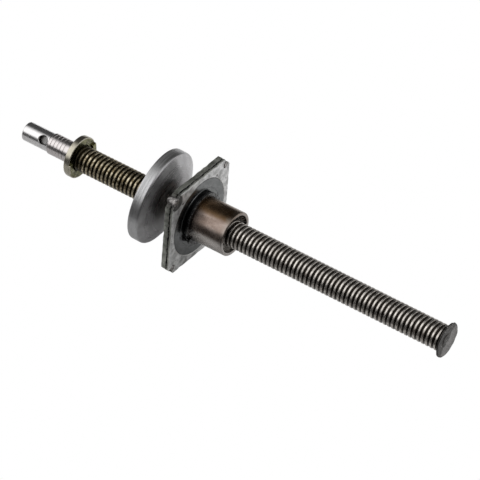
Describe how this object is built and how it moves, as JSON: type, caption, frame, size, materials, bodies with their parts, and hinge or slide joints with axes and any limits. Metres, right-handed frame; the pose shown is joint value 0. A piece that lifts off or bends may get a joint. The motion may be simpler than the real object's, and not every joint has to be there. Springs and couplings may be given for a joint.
{
  "type": "ball screw assembly",
  "caption": "Left-hand ball screw with cross-drilled drive journal, lugged thrust collar, loose guide disc, and a ball nut in a square two-layer plate.",
  "frame": {"origin": "centre of the drive journal's flat end face, on the screw's axis", "axes": "+X along the screw from the drive end to the free end; +Y and +Z square to the sides of the mounting plate"},
  "size_m": [0.355, 0.0704, 0.0704],
  "materials": {
    "journal_steel": "bright turned and polished steel",
    "thread_steel": "ground thread, oiled, bright lands and dark grooves, olive tint near the collar",
    "stop_steel": "dark rough upset steel",
    "yellow_zinc": "yellow zinc plating, olive, worn bright at the rim",
    "disc_steel": "satin turned steel, fine turned lines on the rim",
    "plate_steel": "grey galvanised plate, pitted and slightly rough",
    "tack_steel": "bright headed tack",
    "dark_steel": "dark phosphated steel, satin",
    "sleeve_steel": "heat-tinted bronze brown steel, satin",
    "ring_steel": "spring steel, bright edges",
    "nut_steel": "ground steel",
    "ball_steel": "polished bearing steel",
    "wiper": "black felt-like wiper"
  },
  "bodies": {
    "thrust_collar": {"thrust_collar": "yellow_zinc"},
    "screw": {"screw_shaft": "thread_steel", "drive_journal": "journal_steel", "end_stop": "stop_steel"},
    "guide_disc": {"guide_disc": "disc_steel"},
    "nut_unit": {"rear_plate": "plate_steel", "front_plate": "plate_steel", "corner_tack_1": "tack_steel", "corner_tack_2": "tack_steel", "corner_tack_3": "tack_steel", "corner_tack_4": "tack_steel", "pilot_ring": "dark_steel", "nut_flange": "dark_steel", "nut_hub": "dark_steel", "snap_ring": "ring_steel", "nut_sleeve": "sleeve_steel", "ball_nut_body": "nut_steel", "ball_return_1": "dark_steel", "ball_return_2": "dark_steel", "front_wiper": "wiper", "rear_wiper": "wiper", "front_retainer": "dark_steel", "rear_retainer": "dark_steel", "ball_01": "ball_steel", "ball_02": "ball_steel", "ball_03": "ball_steel", "ball_04": "ball_steel", "ball_05": "ball_steel", "ball_06": "ball_steel", "ball_07": "ball_steel", "ball_08": "ball_steel", "ball_09": "ball_steel", "ball_10": "ball_steel", "ball_11": "ball_steel", "ball_12": "ball_steel", "ball_13": "ball_steel", "ball_14": "ball_steel", "ball_15": "ball_steel", "ball_16": "ball_steel", "ball_17": "ball_steel", "ball_18": "ball_steel", "ball_19": "ball_steel", "ball_20": "ball_steel", "ball_21": "ball_steel", "ball_22": "ball_steel"}
  },
  "joints": [
    {"name": "screw_spin", "type": "hinge", "parent": "thrust_collar", "child": "screw", "pos_m": [0.0463, 0, 0], "axis": [1, 0, 0], "range_deg": [-637, 17850]},
    {"name": "nut_travel", "type": "slide", "parent": "thrust_collar", "child": "nut_unit", "axis": [1, 0, 0], "range_m": [-0.006, 0.168]},
    {"name": "disc_slide", "type": "slide", "parent": "thrust_collar", "child": "guide_disc", "axis": [1, 0, 0], "range_m": [-0.058, 0.0055]}
  ],
  "couplings": [
    {"joint": "nut_travel", "follows": "screw_spin", "m_per_rad": 0.000539}
  ]
}
